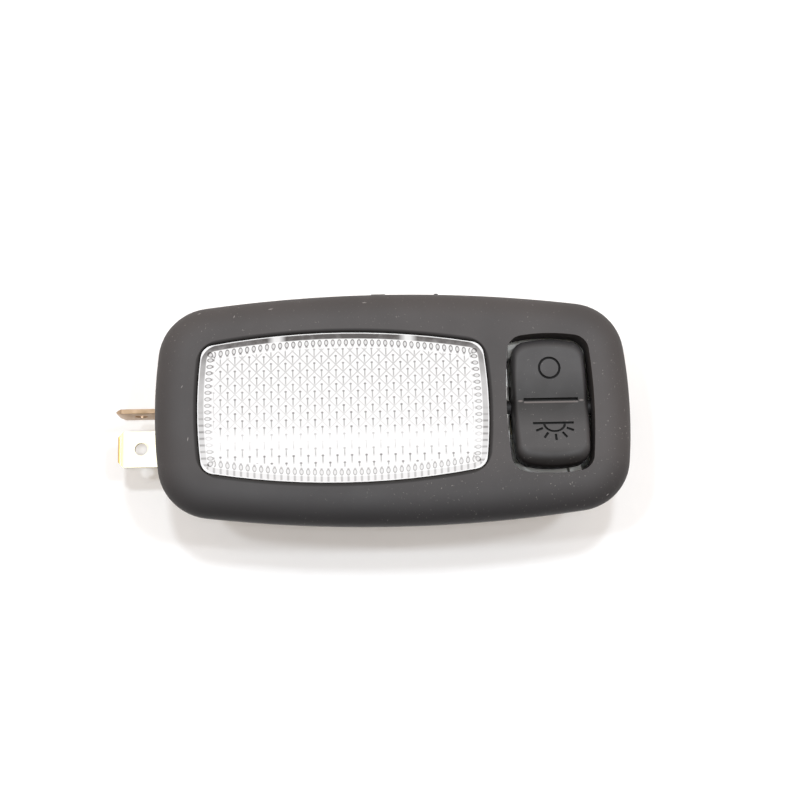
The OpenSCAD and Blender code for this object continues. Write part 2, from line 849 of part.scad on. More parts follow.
module rocker_plunger() {
    color([0.9, 0.89, 0.84]) rocker_place() {
        translate([0, 0, plunger_r - plunger_tip]) intersection() {
            sphere(r = plunger_r);
            translate([0, 0, -2 * plunger_r]) cylinder(r = 2 * plunger_r, h = 2 * plunger_r);
        }
        translate([0, 0, plunger_r - plunger_tip])
            cylinder(r = plunger_r, h = plunger_tip - plunger_r - plunger_top);
    }
}

// A round wire of radius wire_r wound on radius coil_r from height 0 to height h
module coil(coil_r, wire_r, turns, h, sides, steps) {
    last = turns * steps;
    loft([
        for (i = [0:last])
            let (a = 360 * i / steps, z = wire_r + (h - 2 * wire_r) * i / last)
            [
                for (k = [0:sides - 1])
                    let (b = 360 * k / sides, r = coil_r + wire_r * cos(b))
                    [r * cos(a), r * sin(a), z - wire_r * sin(b)]
            ]
    ]);
}

module plunger_spring() {
    color([0.7, 0.71, 0.73]) rocker_place() translate([0, 0, -plunger_top])
        coil(1.1, 0.15, 6, plunger_top - bore_end, 6, 12);
}

// Festoon bulb

module bulb_place() {
    translate([bulb_x, 0, bulb_z]) rotate([0, 90, 0]) children();
}

module bulb_ends() {
    children();
    mirror([0, 0, 1]) children();
}

module bulb_glass() {
    r = bulb_glass_d / 2;
    wall = 0.5;
    color([0.9, 0.93, 0.95, 0.35]) bulb_place() rotate_extrude() polygon(concat(
        [[3.6, -14.5]], [for (t = [0:15:90]) [3.6 + (r - 3.6) * sin(t), -8.6 - 3.4 * cos(t)]],
        [for (t = [90:-15:0]) [3.6 + (r - 3.6) * sin(t), 8.6 + 3.4 * cos(t)]], [[3.6, 14.5]],
        [[3.6 - wall, 14.5]], [for (t = [0:15:90]) [3.6 - wall + (r - 3.6) * sin(t), 8.6 + 3.4 * cos(t)]],
        [for (t = [90:-15:0]) [3.6 - wall + (r - 3.6) * sin(t), -8.6 - 3.4 * cos(t)]], [[3.6 - wall, -14.5]]
    ));
}

module bulb_cap() {
    r = bulb_cap_d / 2;
    rotate_extrude() polygon([
        [r - 0.3, 12.2], [r, 12.2], [r, bulb_half - 2.8], [1.3, bulb_half - 0.4],
        [0.6, bulb_half - 0.4], [0.6, bulb_half - 0.7], [r - 0.3, bulb_half - 3]
    ]);
}

module bulb_cap_left() {
    color([0.78, 0.79, 0.8]) bulb_place() mirror([0, 0, 1]) bulb_cap();
}

module bulb_cap_right() {
    color([0.78, 0.79, 0.8]) bulb_place() bulb_cap();
}

module bulb_filament() {
    color([0.5, 0.5, 0.52]) bulb_place() translate([0, 0, -7]) coil(0.4, 0.08, 14, 14, 4, 8);
}

module bulb_lead_wires() {
    color([0.65, 0.65, 0.66]) bulb_place() bulb_ends()
        translate([0.4, 0, 7]) cylinder(r = 0.2, h = bulb_half - 7.8);
}

module bulb_solder_tips() {
    color([0.75, 0.76, 0.77]) bulb_place() bulb_ends()
        rotate_extrude() polygon([
            [0, bulb_half - 0.65], [0.55, bulb_half - 0.65], [0.55, bulb_half - 0.4],
            [1.2, bulb_half - 0.4], [0.9, bulb_half - 0.1], [0, bulb_half]
        ]);
}

front_bezel();
lens();
rear_housing();
reflector();
retaining_spring();
supply_contact();
return_contact();
bulb_switch_contact();
strip_rivets();
contact_rocker();
moving_contact_stud();
fixed_contact_stud();
rocker();
rocker_plunger();
plunger_spring();
bulb_glass();
bulb_cap_left();
bulb_cap_right();
bulb_filament();
bulb_lead_wires();
bulb_solder_tips();
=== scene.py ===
"""Car interior light: black bezel, clear patterned lens, rocker, brass blades and what is behind them.

Lengths are in millimetres while a piece is modelled. A finished piece is scaled to metres.
"""

import json
import math

import bpy
from mathutils import Matrix, Vector

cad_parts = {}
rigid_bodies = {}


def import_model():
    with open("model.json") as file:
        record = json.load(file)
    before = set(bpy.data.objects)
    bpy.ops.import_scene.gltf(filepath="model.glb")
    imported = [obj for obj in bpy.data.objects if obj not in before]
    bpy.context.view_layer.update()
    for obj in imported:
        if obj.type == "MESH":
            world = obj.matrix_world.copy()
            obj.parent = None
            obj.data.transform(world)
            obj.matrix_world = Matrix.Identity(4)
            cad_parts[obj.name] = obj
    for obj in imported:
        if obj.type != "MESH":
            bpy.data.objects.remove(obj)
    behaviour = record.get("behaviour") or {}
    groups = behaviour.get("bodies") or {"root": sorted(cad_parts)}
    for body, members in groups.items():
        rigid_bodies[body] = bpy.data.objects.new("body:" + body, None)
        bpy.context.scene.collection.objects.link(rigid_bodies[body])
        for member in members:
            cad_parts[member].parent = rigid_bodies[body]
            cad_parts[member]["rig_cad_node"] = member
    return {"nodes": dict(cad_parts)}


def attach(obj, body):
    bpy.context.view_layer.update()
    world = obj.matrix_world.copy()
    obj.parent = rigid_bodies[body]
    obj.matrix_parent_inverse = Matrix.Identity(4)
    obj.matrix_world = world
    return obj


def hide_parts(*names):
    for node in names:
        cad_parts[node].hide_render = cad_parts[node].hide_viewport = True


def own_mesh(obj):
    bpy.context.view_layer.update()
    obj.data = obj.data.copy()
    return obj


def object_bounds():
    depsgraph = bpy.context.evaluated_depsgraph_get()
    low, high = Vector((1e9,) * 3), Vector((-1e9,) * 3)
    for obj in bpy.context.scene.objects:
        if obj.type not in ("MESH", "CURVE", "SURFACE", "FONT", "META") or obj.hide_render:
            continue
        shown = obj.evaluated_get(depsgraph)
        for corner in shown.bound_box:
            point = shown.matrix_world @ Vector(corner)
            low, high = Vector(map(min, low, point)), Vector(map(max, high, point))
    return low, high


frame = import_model()
cad_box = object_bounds()
MM = 0.001


# Sizes in millimetres and degrees, as the part's source has them

BEZEL_L, BEZEL_W, BEZEL_H, BEZEL_T = 80.0, 39.6, 4.0, 1.8
EDGE_Z = 1.2
ROLL_W = 5.0
CEILING_Z = BEZEL_H - BEZEL_T
WINDOW_L, WINDOW_W, WINDOW_X = 48.7, 25.6, -8.5
WINDOW_RIM_R = 0.35
OPENING_L, OPENING_W, OPENING_CENTRE = 23.8, 14.8, (26.05, 0.1)
DISH_W, DISH_D = 2.2, 1.3
PYRAMID_PITCH = 2.4
BEAD_PITCH = 1.1
SNAP_TAB_X = 11

ROCKER_X = 26.25
ROCKER_L, ROCKER_W = 22.2, 12.8
ROCKER_TILT = 6.0
VALLEY_ANGLE = 6.0
AXLE = Vector((ROCKER_X, 0, -0.8))
VALLEY = Vector((ROCKER_X, 0.3, 3.2))
VALLEY_AT_REST = AXLE + Matrix.Rotation(-math.radians(ROCKER_TILT), 3, "X") @ (VALLEY - AXLE)
BAR_HALF_L = 4.6

UPRIGHT_BLADE_Y, UPRIGHT_BLADE_TOP = 1.5, -5.3
BLADE_ROOT_X, BLADE_TIP_X = -39.0, -46.5


# Working in edit mode


def deselect():
    for one in bpy.context.selected_objects:
        one.select_set(False)


def activate(piece):
    deselect()
    bpy.context.view_layer.objects.active = piece
    piece.select_set(True)


def edit(piece, pick="DESELECT"):
    activate(piece)
    bpy.ops.object.mode_set(mode="EDIT")
    bpy.ops.mesh.select_mode(type="FACE")
    bpy.ops.mesh.select_all(action=pick)


def leave():
    """Back to object mode."""
    bpy.ops.object.mode_set(mode="OBJECT")


def select_faces(piece, test):
    """Selects the faces whose centre and normal pass the test, in edit mode."""
    bpy.ops.mesh.select_mode(type="FACE")
    bpy.ops.mesh.select_all(action="DESELECT")
    leave()
    for face in piece.data.polygons:
        face.select = test(face.center, face.normal)
    bpy.ops.object.mode_set(mode="EDIT")


def select_points(piece, test):
    """Selects the vertices that pass the test and stays in edit mode."""
    activate(piece)
    bpy.ops.object.mode_set(mode="EDIT")
    bpy.ops.mesh.select_mode(type="VERT")
    bpy.ops.mesh.select_all(action="DESELECT")
    leave()
    for vertex in piece.data.vertices:
        vertex.select = test(vertex.co)
    bpy.ops.object.mode_set(mode="EDIT")


def select_edges(piece, test):
    """Selects the edges whose two ends pass the test, in edit mode."""
    bpy.ops.mesh.select_mode(type="EDGE")
    bpy.ops.mesh.select_all(action="DESELECT")
    leave()
    points = [vertex.co for vertex in piece.data.vertices]
    for edge in piece.data.edges:
        edge.select = test(points[edge.vertices[0]], points[edge.vertices[1]])
    bpy.ops.object.mode_set(mode="EDIT")


def modify(piece, kind, **settings):
    activate(piece)
    modifier = piece.modifiers.new(kind.lower(), kind)
    for name, value in settings.items():
        setattr(modifier, name, value)
    bpy.ops.object.modifier_apply(modifier=modifier.name)


def combine(piece, other, operation):
    modify(piece, "BOOLEAN", object=other, operation=operation, solver="EXACT")
    bpy.data.objects.remove(other)


def cut(piece, *cutters):
    for cutter in cutters:
        combine(piece, cutter, "DIFFERENCE")


def fuse(piece, *others):
    for other in others:
        combine(piece, other, "UNION")


def join(name, pieces):
    activate(pieces[0])
    for piece in pieces:
        piece.select_set(True)
    bpy.ops.object.join()
    pieces[0].name = name
    return pieces[0]


def copy_of(piece):
    other = piece.copy()
    other.data = piece.data.copy()
    bpy.context.scene.collection.objects.link(other)
    return other


# Arched outlines, drawn by turning a point about the centre of each arc

END_STEPS, CORNER_STEPS, SIDE_STEPS = 8, 12, 16
WELD = 0.001


class Outline:
    """A rounded oblong with bowed ends and sides: half length, half width, bows and corner radius."""

    def __init__(self, half_x, half_y, end_bow, side_bow, corner, centre=(0, 0)):
        self.centre = Vector((centre[0], centre[1], 0))
        self.half_x, self.half_y, self.corner = half_x, half_y, corner
        self.side_r = (half_x ** 2 + side_bow ** 2) / (2 * side_bow)
        self.end_r = (half_y ** 2 + end_bow ** 2) / (2 * end_bow)
        self.side_centre = Vector((0, half_y - self.side_r, 0))
        self.end_centre = Vector((half_x - self.end_r, 0, 0))
        gap = self.end_centre - self.side_centre
        a, b = self.side_r - corner, self.end_r - corner
        along = (a * a - b * b + gap.length ** 2) / (2 * gap.length)
        across = math.sqrt(a * a - along * along)
        way = gap.normalized()
        self.corner_centre = self.side_centre + along * way + across * Vector((way.y, -way.x, 0))

    def bearing(self, centre):
        way = self.corner_centre - centre
        return math.atan2(way.y, way.x)

    def arcs(self):
        """Centre, radius change and turn of each arc, anticlockwise from the middle of the +X end."""
        end_turn = self.bearing(self.end_centre)
        side_turn = self.bearing(self.side_centre)
        first = [
            (self.end_centre, end_turn, END_STEPS),
            (self.corner_centre, side_turn - end_turn, CORNER_STEPS),
            (self.side_centre, math.pi / 2 - side_turn, SIDE_STEPS),
        ]
        arcs = []
        for quarter in range(4):
            sx = 1 if quarter in (0, 3) else -1
            sy = 1 if quarter < 2 else -1
            for centre, turn, steps in first if quarter % 2 == 0 else reversed(first):
                arcs.append((Vector((centre.x * sx, centre.y * sy, 0)), turn, steps))
        return arcs


def draw_face(name, outline, inset=0.0, height=0.0):
    """A flat face with the outline drawn in by inset, at a height."""
    middle = outline.centre + Vector((0, 0, height))
    bpy.ops.mesh.primitive_plane_add(size=1, location=(0, 0, 0))
    piece = bpy.context.active_object
    piece.name = name
    bpy.ops.object.mode_set(mode="EDIT")
    bpy.ops.mesh.select_mode(type="VERT")
    bpy.ops.mesh.select_all(action="SELECT")
    bpy.ops.mesh.merge(type="CENTER")
    bpy.ops.transform.translate(value=middle + Vector((outline.half_x - inset, 0, 0)))
    for centre, turn, steps in outline.arcs():
        bpy.ops.mesh.spin(steps=steps, angle=-turn, axis=(0, 0, 1), center=centre + middle)
    bpy.ops.mesh.select_all(action="SELECT")
    bpy.ops.mesh.remove_doubles(threshold=WELD)
    bpy.ops.mesh.select_all(action="SELECT")
    bpy.ops.mesh.edge_face_add()
    bpy.ops.mesh.select_mode(type="FACE")
    leave()
    faces_down = piece.data.polygons[0].normal.z < 0
    bpy.ops.object.mode_set(mode="EDIT")
    if faces_down:
        bpy.ops.mesh.flip_normals()
    return piece


def extrude(rise):
    bpy.ops.mesh.extrude_region_move(TRANSFORM_OT_translate={"value": (0, 0, rise)})


def rings(steps):
    """Draws the selected face in and along its normal, ring by ring."""
    for inward, rise in steps:
        bpy.ops.mesh.inset(thickness=inward, depth=rise)


def close(piece):
    """Turns every face of a closed shape outwards and leaves edit mode."""
    bpy.ops.mesh.select_all(action="SELECT")
    bpy.ops.mesh.normals_make_consistent(inside=False)
    leave()
    if volume(piece) < 0:
        edit(piece, "SELECT")
        bpy.ops.mesh.flip_normals()
        leave()
    return piece


def volume(piece):
    """Volume of a closed shape, negative where its faces point inwards."""
    piece.data.calc_loop_triangles()
    points = [vertex.co for vertex in piece.data.vertices]
    return sum(
        points[a].dot(points[b].cross(points[c])) / 6
        for a, b, c in (triangle.vertices for triangle in piece.data.loop_triangles)
    )


def prism(name, outline, inset, low, high):
    piece = draw_face(name, outline, inset, low)
    extrude(high - low)
    return close(piece)


def quarter_round(width, rise, count):
    """Steps of a quarter ellipse that starts upright and ends level."""
    turns = [math.pi / 2 * i / count for i in range(count + 1)]
    return [
        (width * (math.cos(a) - math.cos(b)), rise * (math.sin(b) - math.sin(a)))
        for a, b in zip(turns, turns[1:])
    ]


def box(name, low, high):
    centre = (Vector(low) + Vector(high)) / 2
    bpy.ops.mesh.primitive_cube_add(size=1, location=centre)
    piece = bpy.context.active_object
    piece.name = name
    piece.scale = Vector(high) - Vector(low)
    bpy.ops.object.transform_apply(location=True, rotation=True, scale=True)
    return piece


def rod(name, radius, low, high, sides=32):
    """A round rod between two points."""
    low, high = Vector(low), Vector(high)
    bpy.ops.mesh.primitive_cylinder_add(
        vertices=sides, radius=radius, depth=(high - low).length, location=(low + high) / 2,
        rotation=(high - low).to_track_quat("Z", "Y").to_euler()
    )
    piece = bpy.context.active_object
    piece.name = name
    bpy.ops.object.transform_apply(location=True, rotation=True, scale=True)
    return piece


SMOOTH_UP_TO = 35


def to_metres(piece):
    activate(piece)
    piece.scale = (MM, MM, MM)
    bpy.ops.object.transform_apply(location=True, rotation=True, scale=True)


def finish_piece(piece, body, slot, node):
    """Shades a piece, gives it its material and its body, and hides the CAD node that it stands for."""
    shade(piece, SMOOTH_UP_TO)
    piece.data.materials.clear()
    piece.data.materials.append(MATERIALS[slot])
    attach(piece, body)
    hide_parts(node)
    deselect()


def shade(piece, angle):
    """Smooth shading up to an angle, with the large flat faces kept flat."""
    activate(piece)
    bpy.ops.object.shade_smooth_by_angle(angle=math.radians(angle))
    modify(piece, "WEIGHTED_NORMAL", keep_sharp=True, weight=80)


bezel_outline = Outline(BEZEL_L / 2, BEZEL_W / 2, end_bow=2.35, side_bow=3.3, corner=9)
window_outline = Outline(
    WINDOW_L / 2, WINDOW_W / 2, end_bow=1.15, side_bow=2.33, corner=2.4, centre=(WINDOW_X, 0)
)
opening_outline = Outline(
    OPENING_W / 2, OPENING_L / 2, end_bow=0.8, side_bow=0.9, corner=2.8, centre=OPENING_CENTRE
)


# Materials


class Wire:
    """A node's output, on which Python's operators add Math nodes."""

    def __init__(self, shader, socket):
        self.shader, self.socket = shader, socket

    def math(self, operation, *values):
        return self.shader.node("ShaderNodeMath", {"operation": operation}, *values)

    def __add__(self, other):
        return self.math("ADD", self, other)

    def __radd__(self, other):
        return self.math("ADD", other, self)

    def __sub__(self, other):
        return self.math("SUBTRACT", self, other)

    def __rsub__(self, other):
        return self.math("SUBTRACT", other, self)

    def __mul__(self, other):
        return self.math("MULTIPLY", self, other)

    def __rmul__(self, other):
        return self.math("MULTIPLY", other, self)

    def __truediv__(self, other):
        return self.math("DIVIDE", self, other)

    def __gt__(self, other):
        return self.math("GREATER_THAN", self, other)

    def __lt__(self, other):
        return self.math("LESS_THAN", self, other)

    def __abs__(self):
        return self.math("ABSOLUTE", self)

    def __pow__(self, other):
        return self.math("POWER", self, other)

    def least(self, other):
        return self.math("MINIMUM", self, other)

    def most(self, other):
        return self.math("MAXIMUM", self, other)

    def fraction(self):
        return self.math("FRACT", self)

    def clamp(self):
        return self.shader.node("ShaderNodeClamp", {}, self)


class Shader:
    """A material, or the world, whose nodes are added by one method."""

    def __init__(self, name, world=None):
        self.material = world or bpy.data.materials.new(name)
        self.material.use_nodes = True
        self.tree = self.material.node_tree
        self.surface = self.tree.nodes["Background" if world else "Principled BSDF"]
        self.place = self.node("ShaderNodeTexCoord", {}, output="Generated" if world else "Object")

    def node(self, kind, settings, *values, output=0, **named):
        node = self.tree.nodes.new(kind)
        for name, value in settings.items():
            if name == "stops":
                self.set_stops(node, value)
            else:
                setattr(node, name, value)
        for index, value in enumerate(values):
            self.feed(node.inputs[index], value)
        for name, value in named.items():
            self.feed(node.inputs[name], value)
        return Wire(self, node.outputs[output])

    def set_stops(self, node, stops):
        ramp = node.color_ramp
        while len(ramp.elements) < len(stops):
            ramp.elements.new(0.5)
        for element, (position, colour) in zip(ramp.elements, stops):
            element.position = position
            element.color = (*colour, 1)

    def feed(self, socket, value):
        if isinstance(value, Wire):
            self.tree.links.new(value.socket, socket)
        else:
            socket.default_value = value

    def set(self, **values):
        for name, value in values.items():
            self.feed(self.surface.inputs[name.replace("_", " ")], value)

    def axis(self, name):
        """A coordinate in millimetres."""
        return self.node("ShaderNodeSeparateXYZ", {}, self.place, output=name) / MM

    def noise(self, per_mm, detail, stretch=(1, 1, 1)):
        placed = self.node(
            "ShaderNodeMapping", {}, self.place, Scale=tuple(per_mm / MM * s for s in stretch)
        )
        return self.node(
            "ShaderNodeTexNoise", {}, Vector=placed, Scale=1.0, Detail=detail, Roughness=0.55
        )

    def ramp(self, value, *stops):
        return self.node("ShaderNodeValToRGB", {"stops": stops}, value)

    def mix(self, factor, first, second):
        node = self.tree.nodes.new("ShaderNodeMix")
        node.data_type = "RGBA"
        self.feed(node.inputs["Factor"], factor)
        colours = [s for s in node.inputs if s.type == "RGBA"]
        self.feed(colours[0], first)
        self.feed(colours[1], second)
        return Wire(self, [s for s in node.outputs if s.type == "RGBA"][0])

    def bump(self, height, depth_mm, strength):
        """Sets the surface's normal and hands over the finished material."""
        self.set(Normal=self.node(
            "ShaderNodeBump", {}, Strength=strength, Distance=depth_mm * MM, Height=height
        ))
        return self.material


def colour(red, green, blue):
    return (red, green, blue, 1)


# Masks from 0 to 1, and the lengths in millimetres that they are worked out from


def soft(value, width):
    """0 below zero, 1 above the width and even between."""
    return (value / width).clamp()


def within(value, half, edge):
    """1 where a length is nearer to zero than half, with a soft edge inside it."""
    return soft(half - abs(value), edge)


def blot(x, y, half_x, half_y, edge):
    """1 in the middle of an ellipse about the origin, 0 outside it."""
    return soft(1 - ((x / half_x) ** 2 + (y / half_y) ** 2), edge)


def cell(value, pitch, shift=0.0):
    """Distance from the middle of the cell of a repeating row."""
    return ((value / pitch + shift).fraction() - 0.5) * pitch


def arc_insets(outline, x, y):
    """How far a point lies inside the bowed sides of an outline, and inside its bowed ends."""
    x, y = abs(x - outline.centre.x), abs(y - outline.centre.y)
    from_side = outline.side_r - (x ** 2 + (y - outline.side_centre.y) ** 2) ** 0.5
    from_end = outline.end_r - ((x - outline.end_centre.x) ** 2 + y ** 2) ** 0.5
    return from_side, from_end


def inset_of(outline, x, y):
    """How far a point lies inside a rounded outline, negative outside."""
    past_side, past_end = ((outline.corner - inset).most(0) for inset in arc_insets(outline, x, y))
    return outline.corner - (past_side ** 2 + past_end ** 2) ** 0.5


# Finishes that several materials share

NONE, FULL = (0, 0, 0), (1, 1, 1)
DUST = colour(0.3, 0.28, 0.26)


def spark_grain(shader):
    """The fine texture that a spark-eroded mould leaves."""
    return shader.noise(5.5, 2) + 0.5 * shader.noise(1.7, 2)


def dusty_patches(shader):
    return shader.ramp(shader.noise(0.045, 4), (0.42, NONE), (0.7, FULL))


def handled(shader, roughness):
    """Roughness that wanders a little where hands have been."""
    return roughness + 0.14 * (shader.noise(0.12, 5) - 0.5)


def moulded_plastic(name, base, dusty, roughness, grain_mm, dust):
    """Moulded plastic with a fine grain, handling marks and dust."""
    shader = Shader(name)
    patches = dusty_patches(shader)
    specks = shader.noise(2.6, 2) > 0.715
    shade = shader.mix(patches * dust, base, dusty)
    shader.set(
        Base_Color=shader.mix(specks * patches * 0.35, shade, DUST),
        Roughness=handled(shader, roughness).clamp(),
    )
    return shader.bump(spark_grain(shader), grain_mm, 0.5)


# Bezel plastic

BEZEL_BLACK = colour(0.042, 0.038, 0.038)
BEZEL_DUSTY = colour(0.1, 0.088, 0.086)
# Painted shade for the lower part of the bezel, which faces away from the light
BEZEL_LOWER_SHADE = colour(0.013, 0.013, 0.015)
# Painted shade on the lip round the window, where its wall is in shadow
LIP_SHADE = colour(0.006, 0.005, 0.005)
SCUFFED = colour(0.34, 0.32, 0.31)
# Where the painted shade towards the lower edge begins
SHADE_BELOW_Y = -9
LIP_W = 0.62

# Place x and y, half length and turn in degrees of each scratch
SCUFFS = [
    (-32.5, 16.5, 0.35, 20), (-26.6, 15.7, 0.3, 70), (-20.5, 17.0, 0.5, 10), (-4.7, 17.9, 0.45, 0),
    (12.6, 19.1, 0.6, -5), (-34.2, -5.0, 0.4, 80), (-32.8, -17.7, 0.8, 35), (35.0, -15.5, 0.3, 40),
    (-35.2, 3.8, 0.3, 60),
]


def bezel_plastic():
    """Matte black plastic: dusty and scuffed in a few places, with painted shade on the lip round the
    window and towards the lower edge.
    """
    shader = Shader("bezel_plastic")
    x, y, z = (shader.axis(name) for name in "XYZ")
    patches = dusty_patches(shader)
    specks = shader.noise(2.6, 2) > 0.7
    # Painted shade: darker within LIP_W outside the window outline
    lip = soft(LIP_W + inset_of(window_outline, x, y), 0.25)
    shade = shader.mix(patches * 0.25, BEZEL_BLACK, BEZEL_DUSTY)
    # Painted shade: darker towards the lower edge
    shade = shader.mix(0.85 * soft(SHADE_BELOW_Y - y, 9), shade, BEZEL_LOWER_SHADE)
    shade = shader.mix(specks * patches * 0.5, shade, DUST)
    scuffs = sum(scuff(x, y, *place) for place in SCUFFS)
    on_face = soft(z - 2, 0.5)
    shade = shader.mix((scuffs * on_face * (0.4 + shader.noise(3.0, 3))).clamp(), shade, SCUFFED)
    shader.set(
        Base_Color=shader.mix(0.85 * lip, shade, LIP_SHADE),
        Roughness=(handled(shader, 0.6) + 0.1 * lip).clamp(),
    )
    return shader.bump(spark_grain(shader), 0.02, 0.5)


def scuff(x, y, place_x, place_y, length, turn):
    """A short pale scratch, turned by some degrees."""
    x, y = x - place_x, y - place_y
    c, s = math.cos(math.radians(turn)), math.sin(math.radians(turn))
    return blot(x * c + y * s, y * c - x * s, length, 0.09, 1.2)


# Rocker plastic

# Painted dark reflection along the valley
VALLEY_REFLECTION_DARK = colour(0.012, 0.011, 0.011)
FACE_BLACK = colour(0.046, 0.044, 0.045)
# Painted shade on the lower nose
NOSE_SHADE = colour(0.005, 0.004, 0.004)
# Painted shade in the grooves of the bar and signs
GROOVE_SHADE = colour(0.004, 0.004, 0.004)
# Painted glint on the lip and ends of the bar
PAINTED_GLINT = colour(0.3, 0.26, 0.25)
# Where the painted shade of the lower nose begins
NOSE_SHADE_BELOW = 8.2


def rocker_plastic():
    """Black plastic with a painted dark reflection along the valley, painted shade on the lower nose and in
    the grooves, and painted glints on the lip and ends of the bar.
    """
    shader = Shader("rocker_plastic")
    x, y, z = (shader.axis(name) for name in "XYZ")
    x, below = x - VALLEY_AT_REST.x, VALLEY_AT_REST.y - y
    # Painted reflection: dark along the valley, fading to the plain face colour outwards
    valley_reflection_fade = soft(abs(below) - 0.6, 4.5) * (0.6 + 0.8 * shader.noise(0.09, 4))
    shade = shader.mix(valley_reflection_fade.clamp(), VALLEY_REFLECTION_DARK, FACE_BLACK)
    # Painted shade: the lower nose is darker
    shade = shader.mix(0.9 * soft(below - NOSE_SHADE_BELOW, 2.2), shade, NOSE_SHADE)
    shade = shader.mix(0.3 * soft(shader.noise(2.4, 2) - 0.7, 0.03), shade, DUST)
    # Painted glints: a pale line on the lip below the bar and pale spots at its ends
    lip = within(below - 0.45, 0.19, 0.12) * within(x, BAR_HALF_L, 0.1)
    ends = blot(abs(x) - BAR_HALF_L - 0.55, below - 0.2, 0.5, 0.22, 0.8)
    shade = shader.mix((0.36 * lip + 0.4 * ends).clamp(), shade, PAINTED_GLINT)
    # Painted shade in the grooves, by depth below the faces
    groove = soft(depth_below_faces(below, z) - 0.1, 0.1) * within(x, 4.85, 0.1) * within(below, 8.4, 0.1)
    shader.set(
        Base_Color=shader.mix(groove, shade, GROOVE_SHADE),
        Roughness=(0.56 + 0.2 * (shader.noise(0.3, 4) - 0.5) + 0.3 * groove - 0.2 * lip).clamp(),
    )
    return shader.bump(spark_grain(shader), 0.012, 0.5)


def depth_below_faces(below, z):
    """How deep a point lies under the button's faces at rest, of which the upper one is level."""
    slope = math.tan(math.radians(VALLEY_ANGLE + ROCKER_TILT))
    return VALLEY_AT_REST.z + slope * below.most(0) - z


# Metals

BRASS_DULL, BRASS_BRIGHT = colour(0.56, 0.52, 0.38), colour(0.65, 0.61, 0.48)
# Painted golden reflection on the thinned blade tips
BRASS_TIP_REFLECTION = colour(0.72, 0.5, 0.2)
# Painted darker reflection on the upright blade, and the sheared edge's own darker colour
BRASS_UPRIGHT_REFLECTION, BRASS_SHEARED = colour(0.52, 0.38, 0.27), colour(0.4, 0.29, 0.2)
BRASS_STAINED = colour(0.42, 0.3, 0.15)


def rolled_brass():
    """Rolled brass, with a painted golden reflection on the thinned blade tips, a painted brown reflection
    on the upright blade, and a darker brown sheared edge.
    """
    shader = Shader("brass")
    x, y, z = (shader.axis(name) for name in "XYZ")
    drawn = shader.noise(0.9, 4, (0.08, 1, 1))
    tarnish = shader.ramp(shader.noise(0.3, 5), (0.5, NONE), (0.8, FULL))
    spots = soft(shader.noise(1.1, 2) - 0.68, 0.05)
    upright = within(y - UPRIGHT_BLADE_Y, 1, 0.2) * soft(BLADE_ROOT_X - x, 1)
    sheared = upright * soft(z - UPRIGHT_BLADE_TOP, 0.05)
    shade = shader.mix(drawn, BRASS_DULL, BRASS_BRIGHT)
    # Painted reflection: golden on the thinned blade tips
    shade = shader.mix(soft(BLADE_TIP_X - x, 0.5), shade, BRASS_TIP_REFLECTION)
    # Painted reflection: darker brown on the upright blade
    shade = shader.mix(upright, shade, BRASS_UPRIGHT_REFLECTION)
    shade = shader.mix(sheared, shade, BRASS_SHEARED)
    shader.set(
        Base_Color=shader.mix((0.45 * tarnish + 0.4 * spots).clamp(), shade, BRASS_STAINED),
        Roughness=(0.28 + 0.2 * tarnish + 0.1 * drawn + 0.2 * sheared).clamp(), Metallic=1.0,
    )
    return shader.bump(drawn, 0.01, 0.4)


def plain_metal(name, base, roughness, stretch=(1, 1, 1)):
    """Metal with faint marks of drawing or rolling."""
    shader = Shader(name)
    drawn = shader.noise(0.8, 4, stretch)
    darker = colour(*(0.72 * c for c in base[:3]))
    shader.set(
        Base_Color=shader.mix(drawn, darker, base),
        Roughness=(roughness + 0.16 * (drawn - 0.5)).clamp(), Metallic=1.0,
    )
    return shader.bump(drawn, 0.008, 0.3)


# Clear plastic and glass

LENS_CLEAR = colour(0.965, 0.975, 0.985)
# Painted shade for the marks with which the clear pattern shows
LENS_PAINTED_SHADE = colour(0.09, 0.085, 0.085)
FIELD_INSET = 2.6
BEAD_INSET = 1.9
CORNER_BEAD_INSET = 2.45
CORNER_REACH = 2.3
RIM_INSET, RIM_EDGE = 1.25, 0.25
VEIN_W = 0.26
GLARE_Y, GLARE_HALF_W = -5.6, 2.4


def patterned_lens():
    """Bright moulded lens with painted shade where its clear pattern bends light: strokes where the
    pyramids meet, a row of bead loops and a plain rim, faded in a painted glare band.
    """
    shader = Shader("clear_plastic")
    x, y = shader.axis("X"), shader.axis("Y")
    from_edge = inset_of(window_outline, x, y)
    from_side, from_end = arc_insets(window_outline, x, y)
    x = x - WINDOW_X
    on_side = from_side < from_end
    along = on_side * x + (1 - on_side) * y
    glare = within(y - GLARE_Y, GLARE_HALF_W, 2.5)
    wear_and_shade_noise = shader.noise(0.6, 3)
    # Painted shade of the pattern, faded where the painted glare lies
    grey = pyramid_field(x, y, from_side.least(from_end)) * (1 - 0.9 * glare)
    grey = grey + bead_row(from_side, from_end, along, y) * (1 - 0.7 * glare)
    grey = grey + lens_rim(x, y, along, from_edge)
    shader.set(
        Base_Color=shader.mix((grey * (0.75 + 0.5 * wear_and_shade_noise)).clamp(), LENS_CLEAR, LENS_PAINTED_SHADE),
        Roughness=(0.03 + 0.05 * wear_and_shade_noise).clamp(), Transmission_Weight=0.18, IOR=1.49,
    )
    return shader.material


def pyramid_field(x, y, inset):
    """Painted shade: strokes where the pyramids meet, and the fainter valleys between them, which fade
    downwards.
    """
    strokes = stroke(x, y, 0) + stroke(x, y, 0.5)
    rising, falling = abs(cell(x - y, PYRAMID_PITCH)), abs(cell(x + y, PYRAMID_PITCH))
    veins = soft(VEIN_W - rising.least(falling), VEIN_W) * soft(y + 12, 20)
    return soft(inset - FIELD_INSET, 0.3) * (0.76 * strokes + 0.5 * veins)


